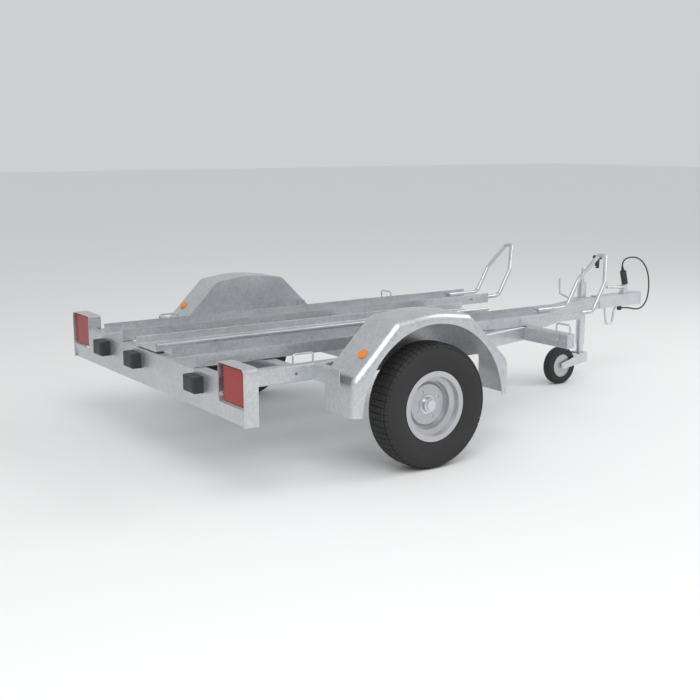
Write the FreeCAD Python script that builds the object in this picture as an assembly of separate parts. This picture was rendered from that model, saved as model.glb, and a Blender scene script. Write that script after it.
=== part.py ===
"""Single-axle motorcycle trailer with two wheel rails and a stowed loading ramp.

Millimetres. X runs forward to the coupling, Y to the trailer's left and Z up. Everything is laid
out from the point on the ground under the middle of the axle. The export then moves it along X,
so that the origin is on the ground at the middle of the trailer's length.
"""
import FreeCAD, Part
import math
import os

V = FreeCAD.Vector
X, Y, Z = V(1, 0, 0), V(0, 1, 0), V(0, 0, 1)
SIDES = (("left", 1), ("right", -1))

# ---- overall ----------------------------------------------------------------------------------
REAR_OVERHANG = 865.0        # axle to the rear face of the light bar
NOSE_REACH = 2105.0          # axle to the front of the coupling
FRAME_TOP = 450.0            # top of the frame's members, where the rails rest
FRAME_HALF_WIDTH = 620.0     # centre plane to the outer face of a side rail
MEMBER_HEIGHT = 65.0         # height of the side rails and of the outer cross members
SHEET = 3.0                  # sheet of the frame and the rails
BEND = 3.0                   # inner radius of the sheet's bends
FACE_GAP = 0.3               # air between moving faces that run past each other closely
WORKING_GAP = 6.0            # clear space round what swings or rolls

# ---- wheel rails ------------------------------------------------------------------------------
RAIL_CENTRE = 341.5          # centre plane to the middle of a rail
RAIL_WIDTH = 203.0
RAIL_HEIGHT = 50.0
RAIL_FRONT = 1205.0          # axle to the rails' front end
RAIL_SLOT = (26.0, 9.0)      # length and width of the slot ahead of each hoop bolt pair
RAIL_SLOT_BACK = 120.0       # slot's middle to the rail's front end

# ---- frame ------------------------------------------------------------------------------------
SIDE_FLANGE = 40.0           # width of the side rails' flanges
KINK_X = 50.0                # where the side rails turn inwards
KINK_DEG = 12.7              # how far they turn
FRONT_MEMBER_X = 830.0       # rear face of the front cross member
FRONT_MEMBER_HALF = 715.0    # half length of the front cross member
FRONT_MEMBER_FLANGE = 45.0
REAR_MEMBER_X = -505.0       # front face of the rear cross member
MIDDLE_MEMBER_X = 318.0      # front face of the middle cross member
INNER_MEMBER_FLANGE = 58.0
OUTRIGGER_X = -440.0         # rear face of the outriggers behind the mudguards
OUTRIGGER_FLANGE = 26.0
OUTRIGGER_END = 792.0        # centre plane to the outriggers' outer end

# ---- light bar --------------------------------------------------------------------------------
BAR_HALF = 824.0             # centre plane to the outer faces of the lamp hoods
BAR_FLANGE = 45.0
BAR_WEB = 85.0               # height of the bar's upright face
BAR_BOTTOM = 294.0
BAR_LIP_IN = 12.0            # how far the lower lip leans forward
HOOD_TOP = 508.0
HOOD_INNER = 630.0           # centre plane to the inner face of a hood
HOOD_DEPTH = 60.0
HOOD_CORNER = 22.0           # outer radius of the hood's upper corner
LAMP_WIDTH = 172.0
LAMP_BOTTOM = 358.0
LAMP_TOP = 498.0
LAMP_RECESS = 12.0           # rear face of the bar to the lens
LENS_DEPTH = 12.0
LAMP_DEPTH = 30.0
PLATE_LAMP = (45.0, 88.0, 64.0)      # depth, width and height
PLATE_LAMP_Z = 398.0
PLATE_LAMP_Y = (430.0, 98.0, -468.0)

# ---- wheels and axle --------------------------------------------------------------------------
TYRE_R = 257.0
TYRE_WIDTH = 135.0
WHEEL_CENTRE = 770.0         # centre plane to the middle of a wheel
RIM_R = 144.0                # radius over the rim's flanges
RIM_WIDTH = 105.0            # over the flanges
RIM_WALL = 4.0
BEAD_R = 127.0
WELL_R = 104.0
DISC_FACE = 2.0              # wheel centre to the disc's outer face, outwards
STUD_PCD = 115.0
STUD_HOLE_R = 7.0
STUDS = 4
HUB_BORE_R = 41.0            # centre hole of the disc
HUB_FLANGE_R = 76.0
HUB_FLANGE = 9.0
HUB_R = 38.0
HUB_LENGTH = 62.0            # behind the flange
CAP_R = 30.0
CAP_REACH = 26.0             # beyond the disc's outer face
STUB_R = 17.0
BEARING_GAP = 0.5
BEAM = 70.0                  # square axle tube
BEAM_WALL = 5.0
BEAM_X = 150.0               # the beam lies ahead of the wheels' axis
BEAM_TOP = 377.0
BEAM_END = 612.0
ARM_THICK = 24.0
ARM_R = 30.0                 # round the beam's core
ARM_TIP_R = 26.0

# ---- mudguards --------------------------------------------------------------------------------
GUARD_SHEET = 1.5
GUARD_IN = 642.0             # centre plane to the guard's inner side
GUARD_OUT = 838.0            # centre plane to the guard's outer face
GUARD_EDGE_R = 30.0          # rolled outer edge
GUARD_X = -12.0              # middle of the guard
GUARD_HALF = 393.0
GUARD_BOTTOM = 264.0
GUARD_CREASE = 182.0         # guard's middle to the creases
GUARD_CREASE_Z = 617.0
GUARD_APEX_Z = 637.0
GUARD_SHOULDER_Z = 408.0     # where the slopes meet the upright ends
GUARD_SHOULDER_R = 70.0
ARCH_R = 352.0
ARCH_Z = 242.0
PANEL_BOTTOM = 402.0
REFLECTOR_R = 21.0
REFLECTOR_THICK = 6.0
REFLECTOR_X = -316.0
REFLECTOR_Y = 770.0

# ---- drawbar and coupling ---------------------------------------------------------------------
DRAWBAR = 60.0               # square tube
DRAWBAR_WALL = 4.0
DRAWBAR_TOP = 462.0          # at its front end
DRAWBAR_KNEE_X = 1640.0
DRAWBAR_FRONT = 1822.0
DRAWBAR_REST_X = FRONT_MEMBER_X + 75.0   # where it starts to rise ahead of the front member
DRAWBAR_REAR_X = 262.0
COUPLING_W = 66.0
COUPLING_NOSE_R = 37.0
COUPLING_TOP = 468.0
COUPLING_BOTTOM = 404.0
BALL_R = 25.0
BALL_GAP = 0.25
BALL_X = 2066.0
LOOP_BACK = 1836.0           # loop for the breakaway rope under the coupling
LOOP_FRONT = 1926.0
LOOP_BOTTOM = 306.0
LOOP_R = 6.0
CLIP_X = 1962.0              # front face of the clip that takes the plug's cable
CLIP_Z = 386.0

# ---- hoops ------------------------------------------------------------------------------------
HOOP_R = 10.0
HOOP_BEND_R = 45.0
HOOP_LEAN = 60.0             # degrees from level
HOOP_START_X = 1092.0
HOOP_FOOT_X = 1288.0
HOOP_KNEE = 150.0            # along the lean, foot to where the legs close in
HOOP_HEIGHT = 296.0          # along the lean, foot to apex
HOOP_TOP_HALF = 22.0         # half the width between the legs' upper ends
TIE_R = 4.0
TIE_LENGTH = 92.0
TIE_HEIGHT = 40.0

# ---- jockey wheel -----------------------------------------------------------------------------
JOCKEY_X = 1716.0
JOCKEY_Y = 58.0
JOCKEY_TUBE_R = 24.0
JOCKEY_TUBE_WALL = 3.0
JOCKEY_TUBE_TOP = 541.0
JOCKEY_TUBE_BOTTOM = 205.0
LEG_R = 20.0
LEG_BOTTOM = 158.0
LEG_TRAVEL = 110.0
JOCKEY_R = 100.0
JOCKEY_WIDTH = 50.0
JOCKEY_TRAIL = 152.0
FORK_PLATE = 5.0

# ---- loading ramp -----------------------------------------------------------------------------
RAMP_WIDTH = 200.0
RAMP_HEIGHT = 34.0
RAMP_LENGTH = 1770.0
RAMP_Y = 0.0
RAMP_LIFT = 6.0              # guide blocks between the frame and the ramp
RAMP_LIP_R = 7.0

# ---- plug and cable ---------------------------------------------------------------------------
CABLE_R = 4.0
PLUG_R = 17.0
PLUG_LENGTH = 74.0

AXLE_OFFSET = (REAR_OVERHANG + PLATE_LAMP[0] - NOSE_REACH) / 2.0
RAIL_BACK = -REAR_OVERHANG


# ---- helpers ----------------------------------------------------------------------------------
def save(name, shape):
    """Moves a piece to the part's origin and writes it."""
    piece = shape.removeSplitter() if len(shape.Solids) == 1 else shape
    piece = piece.translated(V(AXLE_OFFSET, 0, 0))
    piece.exportStep("parts/%s.step" % name)
    print("%-28s %d solids %10.1f cm3" % (name, len(piece.Solids), piece.Volume / 1000.0))


def block(x0, x1, y0, y1, z0, z1):
    """Axis-aligned block between two corners given in any order."""
    return Part.makeBox(abs(x1 - x0), abs(y1 - y0), abs(z1 - z0), V(min(x0, x1), min(y0, y1), min(z0, z1)))


def rod(start, end, radius):
    """Cylinder between two points."""
    return Part.makeCylinder(radius, (end - start).Length, start, end - start)


def tube(start, end, radius, wall):
    """Hollow cylinder between two points."""
    return rod(start, end, radius).cut(rod(start, end, radius - wall))


def fused(shapes):
    """One shape out of several."""
    return shapes[0].multiFuse(shapes[1:]) if len(shapes) > 1 else shapes[0]


def mirrored(shape, side):
    """The shape itself on the left, and its mirror image on the right."""
    return shape if side > 0 else shape.mirror(V(0, 0, 0), Y)


def polygon(points):
    """Flat face through the points."""
    return Part.Face(Part.makePolygon(list(points) + [points[0]]))


def turn(a, b, c):
    """Signed turn at b in the plane of the first two coordinates."""
    before, after = (b[0] - a[0], b[1] - a[1]), (c[0] - b[0], c[1] - b[1])
    cross = before[0] * after[1] - before[1] * after[0]
    return math.atan2(cross, before[0] * after[0] + before[1] * after[1])


def rounded_path(points, radii, offset, place):
    """Edges along a flat path, rounded at its inner points and offset to its left.

    The radii belong to the path that isn't offset. Place turns two flat coordinates into a point.
    """
    count = len(points)
    directions = []
    for a, b in zip(points, points[1:]):
        length = math.hypot(b[0] - a[0], b[1] - a[1])
        directions.append(((b[0] - a[0]) / length, (b[1] - a[1]) / length))

    def shifted(point, direction, along):
        return (point[0] + direction[0] * along - direction[1] * offset,
                point[1] + direction[1] * along + direction[0] * offset)

    edges = []
    start = shifted(points[0], directions[0], 0.0)
    for i in range(1, count - 1):
        angle = turn(points[i - 1], points[i], points[i + 1])
        run = radii[i - 1] * math.tan(abs(angle) / 2.0)
        into = shifted(points[i], directions[i - 1], -run)
        out = shifted(points[i], directions[i], run)
        edges.append(Part.LineSegment(place(*start), place(*into)).toShape())
        side = 1.0 if angle > 0 else -1.0
        radius = radii[i - 1] - side * offset
        tangent = directions[i - 1]
        centre = (into[0] - tangent[1] * side * radius, into[1] + tangent[0] * side * radius)
        bisector = (points[i][0] - (centre[0]), points[i][1] - (centre[1]))
        length = math.hypot(*bisector)
        middle = (centre[0] + bisector[0] / length * radius, centre[1] + bisector[1] / length * radius)
        edges.append(Part.Arc(place(*into), place(*middle), place(*out)).toShape())
        start = out
    end = shifted(points[-1], directions[-1], 0.0)
    edges.append(Part.LineSegment(place(*start), place(*end)).toShape())
    return edges, start if count == 2 else None, end


def folded_face(points, thickness, place, inner=BEND, radii=None):
    """Cross-section of a folded sheet, whose right-hand face follows the points."""
    if radii is None:
        radii = [inner + thickness if turn(a, b, c) > 0 else inner
                 for a, b, c in zip(points, points[1:], points[2:])]
    first, _, _ = rounded_path(points, radii, 0.0, place)
    second, _, _ = rounded_path(points, radii, thickness, place)
    caps = [Part.LineSegment(first[-1].Vertexes[-1].Point, second[-1].Vertexes[-1].Point).toShape(),
            Part.LineSegment(second[0].Vertexes[0].Point, first[0].Vertexes[0].Point).toShape()]
    wire = Part.Wire(Part.__sortEdges__(first + second + caps))
    return Part.Face(wire)


def in_yz(x):
    """Places flat coordinates in the plane across the trailer at x."""
    return lambda a, b: V(x, a, b)


def in_xz(y):
    """Places flat coordinates in the plane along the trailer at y."""
    return lambda a, b: V(a, y, b)


def bent_rod(points, radii, radius):
    """Round rod along straight runs joined by tangent arcs."""
    edges = []
    start = points[0]
    for i in range(1, len(points) - 1):
        into_way = (points[i] - points[i - 1]).normalize()
        out_way = (points[i + 1] - points[i]).normalize()
        angle = math.acos(max(-1.0, min(1.0, into_way.dot(out_way))))
        run = radii[i - 1] * math.tan(angle / 2.0)
        into, out = points[i] - into_way * run, points[i] + out_way * run
        inward = (out_way - into_way).normalize()
        centre = points[i] + inward * (radii[i - 1] / math.cos(angle / 2.0))
        middle = centre - inward * radii[i - 1]
        edges.append(Part.LineSegment(start, into).toShape())
        edges.append(Part.Arc(into, middle, out).toShape())
        start = out
    edges.append(Part.LineSegment(start, points[-1]).toShape())
    path = Part.Wire(edges)
    ring = Part.Wire([Part.makeCircle(radius, points[0], points[1] - points[0])])
    return path.makePipeShell([ring], True, False)


def lathe(points, centre, y_sign):
    """Body of revolution about a wheel's axis: points are (distance outwards, radius)."""
    face = polygon([V(centre.x, centre.y + y_sign * out, centre.z + radius) for out, radius in points])
    return face.revolve(centre, Y, 360)


# ---- frame ------------------------------------------------------------------------------------
def rail_plan(x):
    """Distance of a side rail's outer face from the centre plane at x."""
    if x <= KINK_X:
        return FRAME_HALF_WIDTH
    return FRAME_HALF_WIDTH - (x - KINK_X) * math.tan(math.radians(KINK_DEG))


def side_rail(side):
    """C section with its web outwards, straight and then turned inwards to the front member."""
    bottom = FRAME_TOP - MEMBER_HEIGHT
    inner = FRAME_HALF_WIDTH - SIDE_FLANGE
    outline = [(inner, bottom), (FRAME_HALF_WIDTH, bottom), (FRAME_HALF_WIDTH, FRAME_TOP),
               (inner, FRAME_TOP)]
    back = RAIL_BACK + SHEET + BEND
    section = folded_face(outline, SHEET, in_yz(back))
    straight = section.extrude(V(KINK_X + 80.0 - back, 0, 0))
    turned = folded_face(outline, SHEET, in_yz(KINK_X - 80.0))
    reach = (FRONT_MEMBER_X - KINK_X) / math.cos(math.radians(KINK_DEG)) + 200.0
    turned = turned.extrude(V(reach, 0, 0))
    pivot = V(KINK_X, FRAME_HALF_WIDTH, 0)
    turned.rotate(pivot, Z, -KINK_DEG)
    mitre = block(-2000, 0, -400, 400, -50, 50)
    mitre.rotate(V(0, 0, 0), Z, -KINK_DEG / 2.0)
    mitre.translate(V(KINK_X, FRAME_HALF_WIDTH, FRAME_TOP - MEMBER_HEIGHT / 2.0))
    ahead = block(FRONT_MEMBER_X, FRONT_MEMBER_X + 400, 0, 900, 0, 900)
    body = straight.common(mitre).fuse(turned.cut(mitre).cut(ahead))
    hole = Part.makeCylinder(6, 40, V(-522, FRAME_HALF_WIDTH - 20, FRAME_TOP - MEMBER_HEIGHT / 2.0), Y)
    drop = block(RAIL_BACK, RAIL_BACK + SHEET + BAR_FLANGE, 0, 900, FRAME_TOP - SHEET, FRAME_TOP)
    return mirrored(body.cut(hole).cut(drop), side)


def channel_across(x_web, flange, half, height, forward, top):
    """C section across the trailer: web at x_web, flanges forward (+1) or back (-1)."""
    bottom = top - height
    if forward > 0:
        outline = [(x_web + flange, top), (x_web, top), (x_web, bottom), (x_web + flange, bottom)]
    else:
        outline = [(x_web - flange, bottom), (x_web, bottom), (x_web, top), (x_web - flange, top)]
    return folded_face(outline, SHEET, in_xz(-half)).extrude(V(0, 2 * half, 0))


def inner_member(x_web):
    """Cross member between the side rails, its ends cut to fit against their webs."""
    return channel_across(x_web, INNER_MEMBER_FLANGE, FRAME_HALF_WIDTH, MEMBER_HEIGHT - SHEET, -1,
                          FRAME_TOP - SHEET)


def frame():
    """Side rails, cross members and outriggers."""
    rails = {name: side_rail(side) for name, side in SIDES}
    for name, _ in SIDES:
        save("side_rail_" + name, rails[name])
    for name, x_web in (("rear_cross_member", REAR_MEMBER_X), ("middle_cross_member", MIDDLE_MEMBER_X)):
        outside = [polygon([V(-900, 900, 0), V(-900, rail_plan(-900) - SHEET, 0),
                            V(KINK_X, rail_plan(KINK_X) - SHEET, 0),
                            V(900, rail_plan(900) - SHEET, 0), V(900, 900, 0)]).extrude(V(0, 0, 900))]
        outside.append(outside[0].mirror(V(0, 0, 0), Y))
        member = inner_member(x_web)
        for part in outside + list(rails.values()):
            member = member.cut(part)
        save(name, member)
    front = channel_across(FRONT_MEMBER_X, FRONT_MEMBER_FLANGE, FRONT_MEMBER_HALF, MEMBER_HEIGHT, 1,
                           FRAME_TOP)
    ends = [block(FRONT_MEMBER_X, FRONT_MEMBER_X + FRONT_MEMBER_FLANGE, s * FRONT_MEMBER_HALF,
                  s * (FRONT_MEMBER_HALF + SHEET), FRAME_TOP - MEMBER_HEIGHT, FRAME_TOP) for s in (1, -1)]
    save("front_cross_member", fused([front] + ends))
    for name, side in SIDES:
        outline = [(OUTRIGGER_X + OUTRIGGER_FLANGE, FRAME_TOP), (OUTRIGGER_X, FRAME_TOP),
                   (OUTRIGGER_X, FRAME_TOP - MEMBER_HEIGHT)]
        start = FRAME_HALF_WIDTH
        piece = folded_face(outline, SHEET, in_xz(start)).extrude(V(0, OUTRIGGER_END - start, 0))
        save("mudguard_outrigger_" + name, mirrored(piece, side))


def light_bar():
    """Folded bar across the rear with a top flange, an upright web and a lower lip."""
    back = RAIL_BACK
    web_bottom = FRAME_TOP - BAR_WEB
    outline = [(back + BAR_FLANGE, FRAME_TOP), (back, FRAME_TOP), (back, web_bottom),
               (back + BAR_LIP_IN, BAR_BOTTOM)]
    half = BAR_HALF - SHEET
    bar = folded_face(outline, SHEET, in_xz(-half)).extrude(V(0, 2 * half, 0))
    for _, side in SIDES:
        window = block(back - 1, back + BAR_FLANGE + 1, side * (HOOD_INNER + SHEET),
                       side * (half + 1), web_bottom - 6, FRAME_TOP + 1)
        relief = block(back - 1, back + BAR_LIP_IN + SHEET + 2, side * (half - 9), side * (half + 1),
                       BAR_BOTTOM - 1, BAR_BOTTOM + 14)
        bar = bar.cut(window).cut(relief)
    save("light_bar", bar)


def lamp_hood(side):
    """Sheet hood over a tail lamp: outer plate, top and short inner side, with a back plate."""
    outline = [(HOOD_INNER, FRAME_TOP), (HOOD_INNER, HOOD_TOP), (BAR_HALF, HOOD_TOP),
               (BAR_HALF, BAR_BOTTOM)]
    outline.reverse()
    radii = [HOOD_CORNER, BEND + SHEET]
    hood = folded_face(outline, SHEET, in_yz(RAIL_BACK), radii=radii).extrude(V(HOOD_DEPTH, 0, 0))
    plate = block(RAIL_BACK + HOOD_DEPTH - SHEET, RAIL_BACK + HOOD_DEPTH, HOOD_INNER + SHEET,
                  BAR_HALF - HOOD_CORNER, LAMP_BOTTOM, HOOD_TOP - SHEET)
    return mirrored(hood.fuse(plate), side)


def rear_lights():
    """Hoods, tail lamps and number-plate lamps."""
    lens_back = RAIL_BACK + LAMP_RECESS
    inner = BAR_HALF - SHEET - 4.0 - LAMP_WIDTH
    for name, side in SIDES:
        save("lamp_hood_" + name, lamp_hood(side))
        lens = block(lens_back, lens_back + LENS_DEPTH, inner, inner + LAMP_WIDTH, LAMP_BOTTOM + 3, LAMP_TOP)
        lens = lens.makeFillet(3.0, [e for e in lens.Edges if abs(e.CenterOfMass.x - lens_back) < 0.1])
        body = block(lens_back + LENS_DEPTH, RAIL_BACK + HOOD_DEPTH - SHEET, inner + 5,
                     inner + LAMP_WIDTH - 5, LAMP_BOTTOM + 7, LAMP_TOP - 5)
        save("tail_lamp_lens_" + name, mirrored(lens, side))
        save("tail_lamp_body_" + name, mirrored(body, side))
    depth, width, height = PLATE_LAMP
    lamps = []
    for y in PLATE_LAMP_Y:
        lamp = block(RAIL_BACK - depth, RAIL_BACK, y - width / 2, y + width / 2,
                     PLATE_LAMP_Z - height / 2, PLATE_LAMP_Z + height / 2)
        upright = [e for e in lamp.Edges if abs(e.CenterOfMass.x - (RAIL_BACK - depth)) < 0.1]
        lamps.append(lamp.makeFillet(9.0, upright))
    save("number_plate_lamps", Part.makeCompound(lamps))


# ---- rails and hoops --------------------------------------------------------------------------
def rails():
    """The two channels that the motorcycles' wheels stand in."""
    half = RAIL_WIDTH / 2.0
    for name, side in SIDES:
        centre = RAIL_CENTRE
        outline = [(centre - half, FRAME_TOP + RAIL_HEIGHT), (centre - half, FRAME_TOP),
                   (centre + half, FRAME_TOP), (centre + half, FRAME_TOP + RAIL_HEIGHT)]
        rail = folded_face(outline, SHEET, in_yz(RAIL_BACK)).extrude(V(RAIL_FRONT - RAIL_BACK, 0, 0))
        length, width = RAIL_SLOT
        slot = block(RAIL_FRONT - RAIL_SLOT_BACK - length / 2, RAIL_FRONT - RAIL_SLOT_BACK + length / 2,
                     centre - half - 5, centre + half + 5, FRAME_TOP + 24 - width / 2,
                     FRAME_TOP + 24 + width / 2)
        rail = rail.cut(slot)
        save("wheel_rail_" + name, mirrored(rail, side))
        gusset = polygon([V(FRONT_MEMBER_X - 30, 0, FRAME_TOP + 14), V(FRONT_MEMBER_X + 60, 0, FRAME_TOP - 14),
                          V(FRONT_MEMBER_X + 130, 0, FRAME_TOP - 14), V(FRONT_MEMBER_X + 240, 0, FRAME_TOP + 8),
                          V(FRONT_MEMBER_X + 380, 0, FRAME_TOP + 14), V(FRONT_MEMBER_X + 380, 0, FRAME_TOP + 36),
                          V(FRONT_MEMBER_X - 30, 0, FRAME_TOP + 36)])
        gusset.translate(V(0, centre + half, 0))
        gusset = gusset.extrude(V(0, SHEET, 0))
        gusset = gusset.cut(block(FRONT_MEMBER_X - 1, FRONT_MEMBER_X + FRONT_MEMBER_FLANGE + 1, 0, 900,
                                  FRAME_TOP - 100, FRAME_TOP))
        save("rail_gusset_" + name, mirrored(gusset, side))


def front_hoops():
    """Bent-tube hoops that hold the motorcycles' front wheels."""
    leg = RAIL_WIDTH / 2.0 - SHEET - HOOP_R - 0.2
    z = FRAME_TOP + SHEET + HOOP_R + 16.0
    lean = math.radians(HOOP_LEAN)
    way = V(math.cos(lean), 0, math.sin(lean))
    foot = V(HOOP_FOOT_X, 0, z)
    knee, top = foot + way * HOOP_KNEE, foot + way * HOOP_HEIGHT
    for name, side in SIDES:
        centre = V(0, RAIL_CENTRE, 0)
        points = [V(HOOP_START_X, leg, z), foot + V(0, leg, 0), knee + V(0, leg, 0), top + V(0, HOOP_TOP_HALF, 0)]
        points += [V(p.x, -p.y, p.z) for p in reversed(points)]
        radii = [HOOP_BEND_R, 60.0, HOOP_TOP_HALF * 0.98, HOOP_TOP_HALF * 0.98, 60.0, HOOP_BEND_R]
        hoop = bent_rod([p + centre for p in points], radii, HOOP_R)
        save("front_wheel_hoop_" + name, mirrored(hoop, side))


def tie_down_hoops():
    """Four small lashing hoops on the frame."""
    def hoop(start, along):
        rise, run = Z * TIE_HEIGHT, along * TIE_LENGTH
        points = [start, start + rise, start + run + rise, start + run]
        return bent_rod(points, [12.0, 12.0], TIE_R)

    hoops = []
    for _, side in SIDES:
        hoops.append(hoop(V(-525, side * (FRAME_HALF_WIDTH - 20), FRAME_TOP), X))
        hoops.append(hoop(V(FRONT_MEMBER_X + 20, side * (FRONT_MEMBER_HALF - 86), FRAME_TOP), Y * (side * 0.92)))
    save("tie_down_hoops", Part.makeCompound(hoops))


# ---- axle and wheels --------------------------------------------------------------------------
def axle():
    """Square axle beam with its brackets and the trailing arms that carry the hubs."""
    z = BEAM_TOP - BEAM / 2.0
    outer = block(BEAM_X - BEAM / 2, BEAM_X + BEAM / 2, -BEAM_END, BEAM_END, z - BEAM / 2, z + BEAM / 2)
    inside = block(BEAM_X - BEAM / 2 + BEAM_WALL, BEAM_X + BEAM / 2 - BEAM_WALL, -BEAM_END - 1, BEAM_END + 1,
                   z - BEAM / 2 + BEAM_WALL, z + BEAM / 2 - BEAM_WALL)
    save("axle_beam", outer.cut(inside))
    brackets = []
    for _, side in SIDES:
        y1 = rail_plan(BEAM_X + BEAM) - SHEET - 2
        plate = block(BEAM_X - BEAM, BEAM_X + BEAM, side * (y1 - 34), side * y1, BEAM_TOP,
                      FRAME_TOP - MEMBER_HEIGHT)
        brackets.append(plate)
    save("axle_brackets", Part.makeCompound(brackets))
    for name, side in SIDES:
        head, tip = V(BEAM_X, BEAM_END, z), V(0, BEAM_END, TYRE_R)
        length = (tip - head).Length
        angle = math.degrees(math.atan2(tip.z - head.z, tip.x - head.x))
        bar = block(0, length, 0, ARM_THICK, -ARM_TIP_R * 0.8, ARM_TIP_R * 0.8)
        bar.rotate(V(0, 0, 0), Y, -angle)
        bar.translate(head)
        arm = fused([bar, Part.makeCylinder(ARM_R, ARM_THICK, head, Y),
                     Part.makeCylinder(ARM_TIP_R, ARM_THICK, tip, Y),
                     Part.makeCylinder(BEAM / 2 - BEAM_WALL - 4, 90, V(head.x, BEAM_END - 90, head.z), Y),
                     Part.makeCylinder(STUB_R, WHEEL_CENTRE + DISC_FACE - BEAM_END - 2, tip, Y)])
        save("axle_arm_" + name, mirrored(arm, side))


def tyre_profile():
    """Half width and radius points of the tyre's cross-section."""
    half, flange = TYRE_WIDTH / 2.0, RIM_WIDTH / 2.0
    tread = TYRE_R
    right = [(half * 0.70, tread - 2), (half * 0.86, tread - 10), (half * 0.95, tread - 26),
             (half, tread - 56), (half * 0.97, tread - 82), (flange + 1, RIM_R + 3),
             (flange - RIM_WALL, RIM_R + 1.5), (flange - RIM_WALL, BEAD_R)]
    left = [(-a, r) for a, r in reversed(right)]
    return [(-half * 0.4, tread), (half * 0.4, tread)] + right + left


def rim_profile():
    """Rim barrel with flanges, bead seats and a well, without its disc."""
    half, w = RIM_WIDTH / 2.0, RIM_WALL
    outer = [(half, RIM_R), (half - w, RIM_R - 1), (half - w, BEAD_R), (24, BEAD_R - 3), (16, WELL_R),
             (-16, WELL_R), (-24, BEAD_R - 3), (-half + w, BEAD_R), (-half + w, RIM_R - 1), (-half, RIM_R)]
    inner = [(-half, BEAD_R - w - 1), (-24 - w * 0.6, BEAD_R - 3 - w), (-16 - w * 0.4, WELL_R - w),
             (16 + w * 0.4, WELL_R - w), (24 + w * 0.6, BEAD_R - 3 - w), (half, BEAD_R - w - 1)]
    return outer + inner


def wheels():
    """Tyres, rims and hubs of the two road wheels."""
    for name, side in SIDES:
        centre = V(0, side * WHEEL_CENTRE, TYRE_R)
        save("tyre_" + name, lathe(tyre_profile(), centre, side))
        barrel = lathe(rim_profile(), centre, side)
        w = RIM_WALL
        face = DISC_FACE
        disc = lathe([(face, HUB_BORE_R), (face, 82), (face - 9, 92), (face - 9, WELL_R - w / 2),
                      (face - 9 - w, WELL_R - w / 2), (face - 9 - w, 90), (face - w, 80),
                      (face - w, HUB_BORE_R)], centre, side)
        rim = barrel.fuse(disc)
        for k in range(STUDS):
            angle = math.radians(360.0 * k / STUDS + 27.0)
            spot = centre + V(math.cos(angle), 0, math.sin(angle)) * (STUD_PCD / 2) + Y * (side * face)
            rim = rim.cut(Part.makeCylinder(STUD_HOLE_R, 40, spot - Y * 20, Y))
        save("rim_" + name, rim)
        back = face - w
        bore = STUB_R + BEARING_GAP
        end = face - 1.0
        hub = lathe([(back, HUB_FLANGE_R), (back, HUB_BORE_R - 1), (face + 1, HUB_BORE_R - 1),
                     (face + 2, CAP_R), (face + CAP_REACH - 6, CAP_R - 1), (face + CAP_REACH - 4, 21),
                     (face + CAP_REACH, 20), (face + CAP_REACH, 0), (end, 0), (end, bore),
                     (back - HUB_FLANGE - HUB_LENGTH, bore), (back - HUB_FLANGE - HUB_LENGTH, HUB_R),
                     (back - HUB_FLANGE, HUB_R + 4), (back - HUB_FLANGE, HUB_FLANGE_R)], centre, side)
        save("hub_" + name, hub)


# ---- mudguards --------------------------------------------------------------------------------
def guard_outline(inset):
    """Closed side outline of a mudguard, inset from its outer face."""
    half, crease = GUARD_HALF, GUARD_CREASE
    points = [(GUARD_X + half, GUARD_BOTTOM), (GUARD_X + half, GUARD_SHOULDER_Z),
              (GUARD_X + crease, GUARD_CREASE_Z), (GUARD_X, GUARD_APEX_Z + 4.0),
              (GUARD_X - crease, GUARD_CREASE_Z), (GUARD_X - half, GUARD_SHOULDER_Z),
              (GUARD_X - half, GUARD_BOTTOM)]
    radii = [GUARD_SHOULDER_R, 40.0, 600.0, 40.0, GUARD_SHOULDER_R]
    edges, _, _ = rounded_path(points, radii, inset, in_xz(0.0))
    low = [edges[-1].Vertexes[-1].Point, edges[0].Vertexes[0].Point]
    edges.append(Part.LineSegment(low[0], low[1]).toShape())
    return Part.Face(Part.Wire(Part.__sortEdges__(edges)))


def mudguard(side):
    """Sheet guard, open below and inside, with a rolled outer edge round the wheel arch."""
    def solid(inset, near, far, radius):
        body = guard_outline(inset)
        body.translate(V(0, near, 0))
        body = body.extrude(V(0, far - near, 0))
        rim = [e for e in body.Edges if abs(e.BoundBox.YMin - far) < 0.01 and abs(e.BoundBox.YMax - far) < 0.01
               and e.BoundBox.ZMax > GUARD_BOTTOM + 5]
        return body.makeFillet(radius, rim)

    outer = solid(0.0, GUARD_IN, GUARD_OUT, GUARD_EDGE_R)
    inner = solid(GUARD_SHEET, GUARD_IN - 5, GUARD_OUT - GUARD_SHEET, GUARD_EDGE_R - GUARD_SHEET)
    arch = Part.makeCylinder(ARCH_R, 80, V(GUARD_X, GUARD_OUT - 60, ARCH_Z), Y)
    return mirrored(outer.cut(inner).cut(arch), side)


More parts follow.
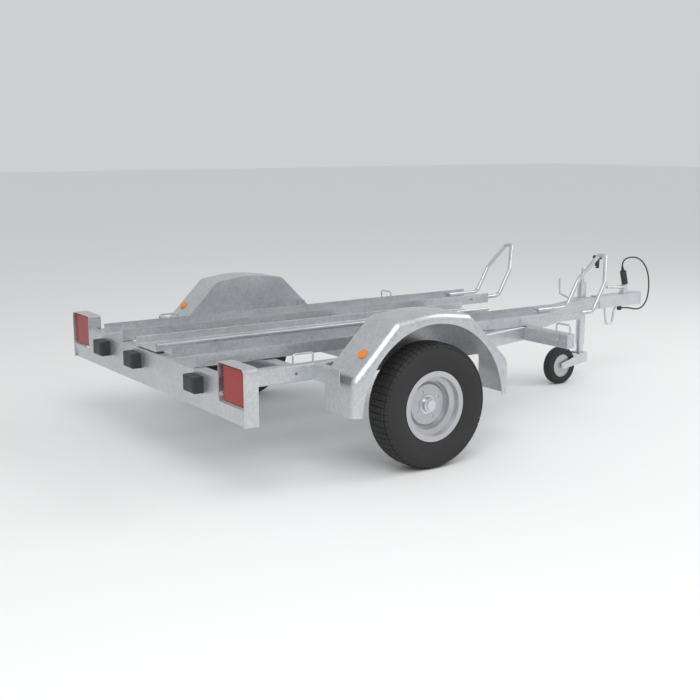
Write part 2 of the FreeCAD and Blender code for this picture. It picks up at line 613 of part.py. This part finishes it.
def mudguards():
    """Guards, their inner panels, front stays and reflectors."""
    reflectors = []
    for name, side in SIDES:
        save("mudguard_" + name, mudguard(side))
        panel = guard_outline(GUARD_SHEET + 0.0)
        panel.translate(V(0, GUARD_IN, 0))
        panel = panel.extrude(V(0, GUARD_SHEET, 0))
        panel = panel.common(block(-900, 900, 0, 900, PANEL_BOTTOM, 900))
        save("mudguard_panel_" + name, mirrored(panel, side))
        x = 284.0
        stay = block(x - 20, x + 20, rail_plan(x - 20), GUARD_IN, FRAME_TOP - 46, FRAME_TOP - 40)
        stay = stay.fuse(block(x - 20, x + 20, GUARD_IN - 5, GUARD_IN, FRAME_TOP - 46, FRAME_TOP + 40))
        rail_side = polygon([V(x - 30, 0, 0), V(x + 30, 0, 0), V(x + 30, rail_plan(x + 30), 0),
                             V(x - 30, rail_plan(x - 30), 0)]).extrude(V(0, 0, 900))
        save("mudguard_stay_" + name, mirrored(stay.cut(rail_side), side))
        rise = (GUARD_CREASE_Z - GUARD_SHOULDER_Z) / (GUARD_HALF - GUARD_CREASE)
        z = GUARD_CREASE_Z + (REFLECTOR_X - (GUARD_X - GUARD_CREASE)) * rise
        out = V(-rise, 0, 1).normalize()
        disc = Part.makeCylinder(REFLECTOR_R, REFLECTOR_THICK, V(REFLECTOR_X, side * REFLECTOR_Y, z), out)
        reflectors.append(disc.makeFillet(2.0, [disc.Edges[0]]) if disc.Edges else disc)
    save("side_reflectors", Part.makeCompound(reflectors))


# ---- drawbar and coupling ---------------------------------------------------------------------
def drawbar_drop(x):
    """Height of the drawbar's top at x."""
    slope = (DRAWBAR_TOP - (FRAME_TOP - MEMBER_HEIGHT)) / (DRAWBAR_KNEE_X - DRAWBAR_REST_X)
    return DRAWBAR_TOP if x >= DRAWBAR_KNEE_X else DRAWBAR_TOP - (DRAWBAR_KNEE_X - x) * slope


def drawbar():
    """Square tube from the coupling, bent down to run under the frame's cross members."""
    def profile(width, inset):
        top = [(DRAWBAR_REAR_X, drawbar_drop(DRAWBAR_REST_X)), (DRAWBAR_REST_X, drawbar_drop(DRAWBAR_REST_X)),
               (DRAWBAR_KNEE_X, DRAWBAR_TOP), (DRAWBAR_FRONT, DRAWBAR_TOP)]
        face = folded_face([(x, z - inset) for x, z in reversed(top)], DRAWBAR - 2 * inset, in_xz(-width / 2),
                           radii=[200.0, 200.0])
        return face.extrude(V(0, width, 0))

    outer = profile(DRAWBAR, 0.0)
    body = outer.cut(profile(DRAWBAR - 2 * DRAWBAR_WALL, DRAWBAR_WALL))
    save("drawbar", body)


def coupling():
    """Pressed coupling head with a ball socket, its lever and the cable loop below."""
    half = COUPLING_W / 2.0
    nose = NOSE_REACH - COUPLING_NOSE_R
    plan = fused([block(DRAWBAR_FRONT - 60, nose, -half, half, COUPLING_BOTTOM, COUPLING_TOP),
                  Part.makeCylinder(COUPLING_NOSE_R, COUPLING_TOP - COUPLING_BOTTOM, V(nose, 0, COUPLING_BOTTOM), Z)])
    sleeve = block(DRAWBAR_FRONT - 200, DRAWBAR_FRONT, -DRAWBAR / 2, DRAWBAR / 2, DRAWBAR_TOP - DRAWBAR, DRAWBAR_TOP)
    ball = Part.makeSphere(BALL_R + BALL_GAP, V(BALL_X, 0, COUPLING_BOTTOM + BALL_R - 6))
    throat = Part.makeCylinder(BALL_R + BALL_GAP, 60, V(BALL_X, 0, COUPLING_BOTTOM + BALL_R - 66), Z)
    head = plan.cut(sleeve).cut(ball).cut(throat)
    save("coupling_head", head)
    bracket = fused([block(1962, 2010, -16, 16, COUPLING_TOP, COUPLING_TOP + 14),
                     block(1970, 2000, -12, 12, COUPLING_TOP + 14, COUPLING_TOP + 46)])
    lever = bracket.fuse(rod(V(1985, 0, COUPLING_TOP + 32), V(1850, 0, COUPLING_TOP + 42), 9.0))
    save("coupling_lever", lever)
    loop = [V(LOOP_BACK, 0, COUPLING_BOTTOM), V(LOOP_BACK + 4, 0, 376), V(LOOP_BACK + 16, 0, LOOP_BOTTOM),
            V(LOOP_FRONT - 28, 0, LOOP_BOTTOM), V(LOOP_FRONT - 16, 0, 376), V(LOOP_FRONT, 0, COUPLING_BOTTOM)]
    save("safety_loop", bent_rod(loop, [30.0, 12.0, 12.0, 30.0], LOOP_R).cut(head))
    save("cable_clip", block(CLIP_X - 18, CLIP_X, -9, 9, CLIP_Z - 10, COUPLING_BOTTOM))


# ---- jockey wheel -----------------------------------------------------------------------------
def jockey():
    """Jack with an outer tube clamped to the drawbar, a leg that winds out and a castor wheel."""
    top, bottom = JOCKEY_TUBE_TOP, JOCKEY_TUBE_BOTTOM
    at = lambda z: V(JOCKEY_X, JOCKEY_Y, z)
    outer = tube(at(bottom), at(top - 4), JOCKEY_TUBE_R, JOCKEY_TUBE_WALL)
    outer = outer.fuse(Part.makeCylinder(JOCKEY_TUBE_R, 5, at(top - 5), Z))
    outer = outer.fuse(Part.makeCylinder(11, 40, at(top - 1), Z))
    save("jockey_outer_tube", outer)
    clamp = block(JOCKEY_X - 34, JOCKEY_X + 34, DRAWBAR / 2, JOCKEY_Y + 30, DRAWBAR_TOP - 52, DRAWBAR_TOP - 4)
    clamp = clamp.cut(Part.makeCylinder(JOCKEY_TUBE_R, 200, at(DRAWBAR_TOP - 100), Z))
    save("jockey_clamp", clamp)
    lever = fused([rod(V(JOCKEY_X - 30, JOCKEY_Y + 14, DRAWBAR_TOP - 28), V(JOCKEY_X - 150, JOCKEY_Y + 14, 490), 5.0),
                   rod(V(JOCKEY_X - 150, JOCKEY_Y + 14, 490), V(JOCKEY_X - 156, JOCKEY_Y + 14, 570), 5.0)])
    save("clamp_lever", lever.cut(clamp))
    shaft = rod(at(top + 39), at(top + 78), 6.0)
    arm = rod(at(top + 74), V(JOCKEY_X + 110, JOCKEY_Y, top + 78), 5.0)
    save("jockey_crank", shaft.fuse(arm))
    grip = rod(V(JOCKEY_X + 110, JOCKEY_Y, top + 70), V(JOCKEY_X + 112, JOCKEY_Y, top + 132), 12.0)
    cross = rod(V(JOCKEY_X + 112, JOCKEY_Y - 26, top + 128), V(JOCKEY_X + 112, JOCKEY_Y + 26, top + 128), 10.0)
    save("crank_grip", grip.fuse(cross).cut(arm))
    leg_r = LEG_R
    leg = tube(at(LEG_BOTTOM), at(LEG_BOTTOM + 330), leg_r, 3.0)
    leg = leg.fuse(Part.makeCylinder(leg_r, 8, at(LEG_BOTTOM), Z))
    save("jockey_leg", leg)
    axis = V(JOCKEY_X - JOCKEY_TRAIL, JOCKEY_Y, JOCKEY_R)
    gap = JOCKEY_WIDTH / 2 + WORKING_GAP
    crown = block(JOCKEY_X - 24, JOCKEY_X + 24, JOCKEY_Y - gap - FORK_PLATE, JOCKEY_Y + gap + FORK_PLATE,
                  LEG_BOTTOM - 8 - FACE_GAP, LEG_BOTTOM - FACE_GAP)
    plates = []
    for s in (1, -1):
        outline = polygon([V(JOCKEY_X + 24, 0, LEG_BOTTOM - FACE_GAP), V(JOCKEY_X - 24, 0, LEG_BOTTOM - FACE_GAP),
                           V(axis.x - 14, 0, JOCKEY_R + 14), V(axis.x - 14, 0, JOCKEY_R - 14), V(axis.x + 14, 0, JOCKEY_R - 14),
                           V(JOCKEY_X + 24, 0, LEG_BOTTOM - 50)])
        outline.translate(V(0, JOCKEY_Y + s * gap if s > 0 else JOCKEY_Y - gap - FORK_PLATE, 0))
        plates.append(outline.extrude(V(0, FORK_PLATE, 0)))
    pin = Part.makeCylinder(6.0, 2 * (gap + FORK_PLATE) + 8, V(axis.x, JOCKEY_Y - gap - FORK_PLATE - 4, axis.z), Y)
    save("jockey_fork", fused([crown, pin] + plates))
    rim = Part.makeCylinder(62, 40, axis - Y * 20, Y).cut(Part.makeCylinder(6.5, 80, axis - Y * 40, Y))
    save("jockey_rim", rim)
    tyre = Part.makeCylinder(JOCKEY_R, JOCKEY_WIDTH, axis - Y * JOCKEY_WIDTH / 2, Y)
    tyre = tyre.makeFillet(14.0, [e for e in tyre.Edges if len(e.Vertexes) == 1])
    save("jockey_tyre", tyre.cut(Part.makeCylinder(62, 80, axis - Y * 40, Y)))


# ---- ramp -------------------------------------------------------------------------------------
def ramp():
    """Loading ramp stowed between the rails, on guide blocks fixed to the cross members."""
    half = RAMP_WIDTH / 2.0
    low = FRAME_TOP + RAMP_LIFT + FACE_GAP
    outline = [(RAMP_Y - half, low + RAMP_HEIGHT), (RAMP_Y - half, low), (RAMP_Y + half, low),
               (RAMP_Y + half, low + RAMP_HEIGHT)]
    back = RAIL_BACK
    deck = folded_face(outline, SHEET, in_yz(back)).extrude(V(RAMP_LENGTH, 0, 0))
    lips = []
    for s in (1, -1):
        centre = V(back, RAMP_Y + s * (half + RAMP_LIP_R - SHEET), low + RAMP_HEIGHT - RAMP_LIP_R + 2)
        lips.append(tube(centre, centre + X * RAMP_LENGTH, RAMP_LIP_R, 2.0))
    save("loading_ramp", fused([deck] + lips))
    pads = []
    for x in (RAIL_BACK + BAR_FLANGE / 2, REAR_MEMBER_X - 25, MIDDLE_MEMBER_X - 25):
        top = FRAME_TOP + RAMP_LIFT
        base = FRAME_TOP if x < REAR_MEMBER_X - 100 else FRAME_TOP - SHEET
        pads.append(block(x - 15, x + 15, RAMP_Y - half + 8, RAMP_Y + half - 8, base, top))
    save("ramp_guides", Part.makeCompound(pads))


# ---- plug and cable ---------------------------------------------------------------------------
def plug_and_cable():
    """Plug parked above the coupling and the cable that loops round to the underside."""
    holder_top = V(1990, 0, COUPLING_TOP + 46)
    tilt = V(-0.28, 0, 1).normalize()
    plug_base = holder_top + V(0, 0, 5.0)
    save("plug", Part.makeCylinder(PLUG_R, PLUG_LENGTH, plug_base, tilt))
    start = plug_base + tilt * PLUG_LENGTH
    # The cable passes beside the ball socket's mouth, so that a tow ball can enter from below.
    route = [start, start + tilt * 26, V(1966, 0, 640), V(1988, 0, 658), V(2035, 0, 664), V(2088, 0, 656),
             V(2136, 0, 626), V(2166, -4, 578), V(2174, -10, 524), V(2164, -20, 472), V(2140, -32, 424),
             V(2100, -40, 388), V(2054, -40, 374), V(2008, 0, CLIP_Z), V(CLIP_X, 0, CLIP_Z)]
    radii = []
    for a, b, c in zip(route, route[1:], route[2:]):
        before, after = (b - a), (c - b)
        angle = before.getAngle(after)
        radii.append(0.45 * min(before.Length, after.Length) / math.tan(angle / 2.0))
    print("cable bend radii", [round(r, 1) for r in radii])
    save("plug_cable", bent_rod(route, radii, CABLE_R))


def main():
    """Writes every piece."""
    os.makedirs("parts", exist_ok=True)
    frame()
    light_bar()
    rear_lights()
    rails()
    front_hoops()
    tie_down_hoops()
    axle()
    wheels()
    mudguards()
    drawbar()
    coupling()
    jockey()
    ramp()
    plug_and_cable()


main()
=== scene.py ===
import logging
import math
from dataclasses import dataclass
from enum import Enum

import bmesh
import bpy
from mathutils import Matrix, Vector


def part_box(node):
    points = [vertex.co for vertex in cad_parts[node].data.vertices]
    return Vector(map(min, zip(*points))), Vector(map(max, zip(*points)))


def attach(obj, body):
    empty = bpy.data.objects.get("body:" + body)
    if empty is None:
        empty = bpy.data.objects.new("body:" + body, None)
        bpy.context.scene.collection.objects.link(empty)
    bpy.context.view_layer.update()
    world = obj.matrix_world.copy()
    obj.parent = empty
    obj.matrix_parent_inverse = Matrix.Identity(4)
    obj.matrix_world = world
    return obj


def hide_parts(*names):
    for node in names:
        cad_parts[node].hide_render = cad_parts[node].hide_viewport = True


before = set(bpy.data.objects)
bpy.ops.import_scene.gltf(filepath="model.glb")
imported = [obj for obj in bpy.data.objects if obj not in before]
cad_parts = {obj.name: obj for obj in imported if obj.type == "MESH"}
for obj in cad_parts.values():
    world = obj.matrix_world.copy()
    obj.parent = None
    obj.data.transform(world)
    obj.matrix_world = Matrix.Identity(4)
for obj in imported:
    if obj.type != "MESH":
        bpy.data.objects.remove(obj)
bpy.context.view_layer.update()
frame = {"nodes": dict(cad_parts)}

logging.basicConfig(level=logging.INFO, format="%(message)s")
LOG = logging.getLogger("trailer")
Triple = tuple[float, float, float]

PATCH_SHARE, GRAIN_SHARE = 0.7, 0.3
SPANGLE_SCALE = 90.0
GRAIN_DEPTH = 0.0006
SHEET_STRETCH: Triple = (0.15, 1.0, 1.0)


class Sock:
    """A shader socket that takes part in Python arithmetic."""

    def __init__(self, graph: "Graph", out: bpy.types.NodeSocket) -> None:
        """Keeps the socket and the graph that it belongs to."""
        self.graph, self.out = graph, out

    def _math(self, operation: str, a: object, b: object) -> "Sock":
        """One Math node on two values."""
        return self.graph.node("ShaderNodeMath", {"operation": operation}, {0: a, 1: b})

    def __add__(self, other: object) -> "Sock":
        """Sum."""
        return self._math("ADD", self, other)

    def __mul__(self, other: object) -> "Sock":
        """Product."""
        return self._math("MULTIPLY", self, other)

    __radd__, __rmul__ = __add__, __mul__


class Graph:
    """A material's node tree."""

    def __init__(self, name: str) -> None:
        """Starts a material with one Principled shader."""
        self.material = bpy.data.materials.new(name)
        self.material.use_nodes = True
        self.tree = self.material.node_tree
        self.shader = self.tree.nodes["Principled BSDF"]

    def feed(self, socket: bpy.types.NodeSocket, value: object) -> None:
        """Links a socket, or sets its own value.

        Args:
            socket: The input that takes it.
            value: A Sock to link, or a plain value.
        """
        if isinstance(value, Sock):
            self.tree.links.new(value.out, socket)
        else:
            socket.default_value = value

    def node(self, kind: str, settings: dict, inputs: dict, output: int | str = 0) -> Sock:
        """Adds one node.

        Args:
            kind: The node's type.
            settings: Its settings, set first.
            inputs: Values or links of its sockets.
            output: Which output to hand back.

        Returns:
            The chosen output.
        """
        made = self.tree.nodes.new(kind)
        for key, value in settings.items():
            setattr(made, key, value)
        for key, value in inputs.items():
            self.feed(made.inputs[key], value)
        return Sock(self, made.outputs[output])


@dataclass(frozen=True)
class Finish:
    """A surface finish: two colours in patches, roughness that varies, and a fine grain."""

    name: str
    dark: Triple
    light: Triple
    smooth: float
    rough: float
    metallic: float
    patch: float
    grain: float
    bump: float
    stretch: Triple = (1.0, 1.0, 1.0)
    spangle: bool = False

    def make(self) -> bpy.types.Material:
        """Builds the material on Object coordinates.

        Returns:
            The material.
        """
        g = Graph(self.name)
        place = g.node("ShaderNodeTexCoord", {}, {}, "Object")
        laid = g.node("ShaderNodeMapping", {}, {0: place, 3: self.stretch})
        patch = g.node("ShaderNodeTexNoise", {},
                       {"Vector": place, "Scale": self.patch, "Detail": 4.0})
        grain = g.node("ShaderNodeTexNoise", {},
                       {"Vector": laid, "Scale": self.grain, "Detail": 3.0})
        mask = patch * PATCH_SHARE + grain * GRAIN_SHARE
        if self.spangle:
            cell = g.node("ShaderNodeTexVoronoi", {},
                          {"Vector": place, "Scale": SPANGLE_SCALE}, "Color")
            mask = mask * PATCH_SHARE + cell * GRAIN_SHARE
        colour = g.node("ShaderNodeMix", {"data_type": "RGBA"},
                        {0: mask, 6: (*self.dark, 1.0), 7: (*self.light, 1.0)}, 2)
        g.feed(g.shader.inputs["Base Color"], colour)
        g.feed(g.shader.inputs["Roughness"], mask * (self.rough - self.smooth) + self.smooth)
        g.feed(g.shader.inputs["Metallic"], self.metallic)
        bump = g.node("ShaderNodeBump", {},
                      {"Height": grain, "Strength": self.bump, "Distance": GRAIN_DEPTH})
        g.feed(g.shader.inputs["Normal"], bump)
        return g.material


class Kind(Enum):
    """The finishes on the trailer."""

    GALVANISED = Finish("galvanised_sheet", (0.40, 0.42, 0.44), (0.78, 0.80, 0.82), 0.26, 0.52,
                        0.85, 7.0, 160.0, 0.10, SHEET_STRETCH, True)
    ZINC = Finish("bright_zinc", (0.50, 0.52, 0.55), (0.80, 0.82, 0.84), 0.20, 0.40, 0.95,
                  20.0, 300.0, 0.08)
    SILVER = Finish("silver_paint", (0.42, 0.43, 0.45), (0.60, 0.61, 0.63), 0.30, 0.45, 0.60,
                    12.0, 500.0, 0.05)
    RUBBER = Finish("tyre_rubber", (0.010, 0.010, 0.011), (0.035, 0.035, 0.036), 0.60, 0.90, 0.0,
                    14.0, 350.0, 0.30)
    RED = Finish("red_lens", (0.22, 0.004, 0.004), (0.42, 0.012, 0.008), 0.08, 0.20, 0.0,
                 9.0, 260.0, 0.15)
    AMBER = Finish("amber_reflector", (0.70, 0.16, 0.01), (0.95, 0.32, 0.03), 0.08, 0.22, 0.0,
                   20.0, 500.0, 0.30)
    BLACK = Finish("black_plastic", (0.012, 0.012, 0.013), (0.040, 0.040, 0.042), 0.35, 0.60, 0.0,
                   18.0, 700.0, 0.15)


FINISH_OF = {
    Kind.RUBBER: ("tyre_", "jockey_tyre"),
    Kind.RED: ("tail_lamp_lens",),
    Kind.AMBER: ("side_reflectors",),
    Kind.BLACK: ("tail_lamp_body", "number_plate_lamps", "plug", "crank_grip", "ramp_guides",
                 "cable_clip"),
    Kind.SILVER: ("rim_", "jockey_rim"),
    Kind.ZINC: ("hub_", "jockey_", "coupling_", "clamp_lever", "safety_loop"),
}


@dataclass
class Finishes:
    """Makes each material once and dresses the carried-over nodes."""

    made: dict

    def of(self, kind: Kind) -> bpy.types.Material:
        """The material of a finish, made when it is first asked for.

        Args:
            kind: Which finish.

        Returns:
            Its material.
        """
        if kind not in self.made:
            self.made[kind] = kind.value.make()
        return self.made[kind]

    def dress(self, nodes: dict) -> None:
        """Gives every carried-over node its finish.

        Args:
            nodes: The carried-over pieces by name.
        """
        for name, piece in nodes.items():
            kind = next((k for k, starts in FINISH_OF.items() if name.startswith(starts)),
                        Kind.GALVANISED)
            for place in piece.material_slots:
                place.material = self.of(kind)
        LOG.info("dressed %d nodes", len(nodes))


def finished(name: str, bm: bmesh.types.BMesh, material: bpy.types.Material, body: str) -> bpy.types.Object:
    """Turns a bmesh into a piece that rides on a body.

    Args:
        name: The piece's name.
        bm: Its shape, in place.
        material: Its finish.
        body: The body that it rides on.

    Returns:
        The piece.
    """
    bmesh.ops.recalc_face_normals(bm, faces=bm.faces)
    mesh = bpy.data.meshes.new(name)
    bm.to_mesh(mesh)
    bm.free()
    mesh.materials.append(material)
    piece = bpy.data.objects.new(name, mesh)
    bpy.context.scene.collection.objects.link(piece)
    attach(piece, body)
    LOG.info("%s: %d faces on %s", name, len(mesh.polygons), body)
    return piece


@dataclass
class RoadTyre:
    """A cross-ply tyre with tread blocks, in place of the plain CAD tyre."""

    side: str
    steps: int = 60
    block_inset: float = 0.0022
    block_rise: float = 0.0045
    tread_starts: float = 0.2425
    half_outline: tuple = ((0.0, 0.2525), (0.014, 0.2525), (0.032, 0.2520), (0.049, 0.2480),
                           (0.059, 0.2380), (0.0650, 0.2200), (0.0665, 0.2000), (0.0620, 0.1700),
                           (0.0530, 0.1480), (0.0470, 0.1440), (0.0440, 0.1520), (0.0540, 0.1900),
                           (0.0500, 0.2250), (0.0320, 0.2400), (0.0, 0.2420))

    def build(self, finishes: Finishes) -> None:
        """Spins the section, then raises a block on each face of the tread.

        Args:
            finishes: Where the rubber comes from.
        """
        low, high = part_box(f"tyre_{self.side}")
        centre = (Vector(low) + Vector(high)) / 2.0
        outline = [(-y, r) for y, r in reversed(self.half_outline[1:-1])]
        outline = list(self.half_outline) + outline
        bm = bmesh.new()
        ring = [bm.verts.new(centre + Vector((0.0, y, r))) for y, r in outline]
        edges = [bm.edges.new((a, b)) for a, b in zip(ring, ring[1:] + ring[:1])]
        bmesh.ops.spin(bm, geom=ring + edges, cent=centre, axis=(0, 1, 0), angle=math.tau,
                       steps=self.steps, use_merge=True)
        bmesh.ops.recalc_face_normals(bm, faces=bm.faces)
        tread = []
        for face in bm.faces:
            arm = face.calc_center_median() - centre
            outwards = face.normal.dot(Vector((arm.x, 0, arm.z))) > 0
            if math.hypot(arm.x, arm.z) > self.tread_starts and outwards:
                tread.append(face)
        bmesh.ops.inset_individual(bm, faces=tread, thickness=self.block_inset, depth=self.block_rise)
        for face in bm.faces:
            face.smooth = False
        tyre = finished(f"treaded_tyre_{self.side}", bm, finishes.of(Kind.RUBBER),
                        f"wheel_{self.side}")
        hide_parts(f"tyre_{self.side}")


@dataclass
class Fasteners:
    """Hex-headed bolts with washers."""

    head_radius: float = 0.0085
    head_height: float = 0.006
    washer_radius: float = 0.012
    washer_height: float = 0.0016
    top_taper: float = 0.95
    stands_at: tuple[float, float] = (0.645, 0.690)

    def add(self, bm: bmesh.types.BMesh, place: Vector, outwards: Vector) -> None:
        """Adds one bolt head on its washer.

        Args:
            bm: The shape that takes it.
            place: Where its washer meets the sheet.
            outwards: The way that the head stands.
        """
        turned = outwards.to_track_quat("Z", "Y").to_matrix().to_4x4()
        for radius, height, base, sides in (
                (self.washer_radius, self.washer_height, 0.0, 20),
                (self.head_radius, self.head_height, self.washer_height, 6)):
            at = Matrix.Translation(place) @ turned @ Matrix.Translation((0, 0, base + height / 2.0))
            bmesh.ops.create_cone(bm, cap_ends=True, segments=sides, radius1=radius,
                                  radius2=radius * self.top_taper, depth=height, matrix=at)

    def build(self, finishes: Finishes) -> None:
        """Puts two bolts near each end of the front cross member.

        Args:
            finishes: Where the zinc comes from.
        """
        low, high = (Vector(c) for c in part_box("front_cross_member"))
        bm = bmesh.new()
        for side in (-1.0, 1.0):
            for y in self.stands_at:
                self.add(bm, Vector((low.x, side * y, (low.z + high.z) / 2.0)), Vector((-1, 0, 0)))
        finished("cross_member_bolts", bm, finishes.of(Kind.ZINC), "frame")


@dataclass
class PlugCable:
    """The plug's cable, from the clip under the coupling round to the parked plug."""

    diameter: float = 0.008
    length: float = 0.655
    plug_tilt: Triple = (-0.28, 0.0, 1.0)
    boot_length: float = 0.028
    boot_radii: tuple[float, float] = (0.0095, 0.0052)
    route: tuple = ((1.3645, 0, 0.386), (1.4105, 0, 0.386), (1.4565, -0.040, 0.374),
                    (1.5025, -0.040, 0.388), (1.5425, -0.032, 0.424), (1.5665, -0.020, 0.472),
                    (1.5765, -0.010, 0.524), (1.5685, -0.004, 0.578), (1.5385, 0, 0.626),
                    (1.4905, 0, 0.656), (1.4375, 0, 0.664), (1.3905, 0, 0.658), (1.3685, 0, 0.640),
                    (1.3655, 0, 0.6153), (1.3726, 0, 0.5903))

    def build(self, finishes: Finishes) -> None:
        """Lays the cable on its route and puts a tapered boot where it meets the plug.

        Args:
            finishes: Where the black plastic comes from.
        """
        data = bpy.data.curves.new("plug_cable_line", "CURVE")
        data.dimensions = "3D"
        data.bevel_depth = self.diameter / 2.0
        data.bevel_resolution = 4
        data.resolution_u = 12
        data.use_fill_caps = True
        spline = data.splines.new("NURBS")
        spline.points.add(len(self.route) - 1)
        for point, place in zip(spline.points, self.route):
            point.co = (*place, 1.0)
        spline.order_u = 3
        spline.use_endpoint_u = True
        data.materials.append(finishes.of(Kind.BLACK))
        cable = bpy.data.objects.new("plug_cable_run", data)
        bpy.context.scene.collection.objects.link(cable)
        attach(cable, "frame")
        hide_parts("plug_cable")
        way = Vector(self.plug_tilt).normalized()
        middle = Vector(self.route[-1]) + way * (self.boot_length / 2.0)
        turned = way.to_track_quat("Z", "Y").to_matrix().to_4x4()
        bm = bmesh.new()
        bmesh.ops.create_cone(bm, cap_ends=True, segments=24, radius1=self.boot_radii[0],
                              radius2=self.boot_radii[1], depth=self.boot_length,
                              matrix=Matrix.Translation(middle) @ turned)
        boot = finished("cable_boot", bm, finishes.of(Kind.BLACK), "frame")


@dataclass
class Studio:
    """A pale floor, soft lights and the camera."""

    eye: Triple = (-3.3225, -4.206, 1.306)
    elevation: float = 10.71
    azimuth: float = -34.37
    lens: float = 57.5
    lamps: tuple = (((-3.0, -4.0, 4.5), 4.0, 160.0), ((4.0, -2.0, 4.0), 3.0, 80.0))
    floor_reach: float = 40.0

    def lamp(self, place: Triple, size: float, power: float) -> None:
        """One soft square lamp that faces the trailer.

        Args:
            place: Where it hangs.
            size: Its side, in metres.
            power: Its power, in watts.
        """
        data = bpy.data.lights.new("soft_lamp", "AREA")
        data.size, data.energy = size, power
        lamp = bpy.data.objects.new("soft_lamp", data)
        lamp.location = place
        lamp.rotation_euler = (-Vector(place)).to_track_quat("-Z", "Y").to_euler()
        bpy.context.scene.collection.objects.link(lamp)

    def build(self) -> None:
        """Sets the whole studio up."""
        scene = bpy.context.scene
        scene.view_settings.view_transform = "Standard"
        world = bpy.data.worlds.new("studio")
        world.use_nodes = True
        back = world.node_tree.nodes["Background"]
        back.inputs["Color"].default_value = (0.95, 0.96, 0.97, 1.0)
        back.inputs["Strength"].default_value = 0.65
        scene.world = world
        for place, size, power in self.lamps:
            self.lamp(place, size, power)
        bm = bmesh.new()
        bmesh.ops.create_grid(bm, x_segments=1, y_segments=1, size=self.floor_reach)
        mesh = bpy.data.meshes.new("floor")
        bm.to_mesh(mesh)
        bm.free()
        paint = Graph("pale_floor")
        paint.feed(paint.shader.inputs["Base Color"], (0.90, 0.90, 0.90, 1.0))
        paint.feed(paint.shader.inputs["Roughness"], 0.8)
        mesh.materials.append(paint.material)
        floor = bpy.data.objects.new("floor", mesh)
        scene.collection.objects.link(floor)
        data = bpy.data.cameras.new("camera")
        data.lens, data.sensor_width = self.lens, 36.0
        camera = bpy.data.objects.new("camera", data)
        camera.location = self.eye
        camera.rotation_euler = (math.radians(90.0 - self.elevation), 0.0, math.radians(self.azimuth))
        scene.collection.objects.link(camera)
        scene.camera = camera


def main() -> None:
    """Builds every sub-assembly in order."""
    finishes = Finishes({})
    finishes.dress(frame["nodes"])
    for side in ("left", "right"):
        RoadTyre(side).build(finishes)
    Fasteners().build(finishes)
    PlugCable().build(finishes)
    Studio().build()


if __name__ == "__main__":
    main()
